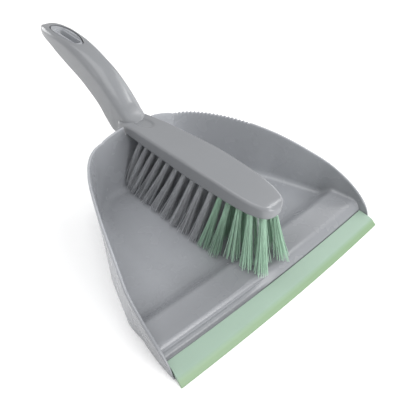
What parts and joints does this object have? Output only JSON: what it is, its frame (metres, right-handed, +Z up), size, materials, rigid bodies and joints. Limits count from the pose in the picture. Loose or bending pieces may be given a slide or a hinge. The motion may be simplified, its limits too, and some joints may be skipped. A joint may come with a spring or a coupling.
{
  "type": "dust pan and brush set",
  "caption": "Dustpan with a soft rubber front lip and a hand brush stored on top, its hollow handle over the pan's handle.",
  "frame": {"origin": "on the floor under the centre of the set's bounding box", "axes": "+Y from the lip towards the handles, +Z up, +X to the side of the rim that carries the comb"},
  "size_m": [0.2236, 0.342, 0.116],
  "materials": {
    "grey_plastic": "smooth moulded polypropylene with a soft sheen",
    "green_rubber": "satin thermoplastic rubber",
    "grey_bristle": "extruded bristle filament",
    "green_bristle": "extruded bristle filament"
  },
  "bodies": {
    "dustpan": {"pan_body": "grey_plastic", "lip": "green_rubber"},
    "brush": {"brush_body": "grey_plastic", "tuft_left_01_grey": "grey_bristle", "tuft_left_02_grey": "grey_bristle", "tuft_left_03_grey": "grey_bristle", "tuft_left_04_grey": "grey_bristle", "tuft_left_05_grey": "grey_bristle", "tuft_left_06_grey": "grey_bristle", "tuft_left_07_grey": "grey_bristle", "tuft_left_08_grey": "grey_bristle", "tuft_left_09_grey": "grey_bristle", "tuft_left_10_grey": "grey_bristle", "tuft_left_11_green": "green_bristle", "tuft_left_12_green": "green_bristle", "tuft_left_13_green": "green_bristle", "tuft_left_14_green": "green_bristle", "tuft_left_15_green": "green_bristle", "tuft_middle_01_grey": "grey_bristle", "tuft_middle_02_grey": "grey_bristle", "tuft_middle_03_grey": "grey_bristle", "tuft_middle_04_grey": "grey_bristle", "tuft_middle_05_grey": "grey_bristle", "tuft_middle_06_grey": "grey_bristle", "tuft_middle_07_grey": "grey_bristle", "tuft_middle_08_grey": "grey_bristle", "tuft_middle_09_grey": "grey_bristle", "tuft_middle_10_grey": "grey_bristle", "tuft_middle_11_green": "green_bristle", "tuft_middle_12_green": "green_bristle", "tuft_middle_13_green": "green_bristle", "tuft_middle_14_green": "green_bristle", "tuft_right_01_grey": "grey_bristle", "tuft_right_02_grey": "grey_bristle", "tuft_right_03_grey": "grey_bristle", "tuft_right_04_grey": "grey_bristle", "tuft_right_05_grey": "grey_bristle", "tuft_right_06_grey": "grey_bristle", "tuft_right_07_grey": "grey_bristle", "tuft_right_08_grey": "grey_bristle", "tuft_right_09_grey": "grey_bristle", "tuft_right_10_grey": "grey_bristle", "tuft_right_11_green": "green_bristle", "tuft_right_12_green": "green_bristle", "tuft_right_13_green": "green_bristle", "tuft_right_14_green": "green_bristle", "tuft_right_15_green": "green_bristle"}
  },
  "joints": [
    {"name": "brush_lift", "type": "slide", "parent": "dustpan", "child": "brush", "axis": [0, 0, 1], "range_m": [0, 0.15]}
  ]
}
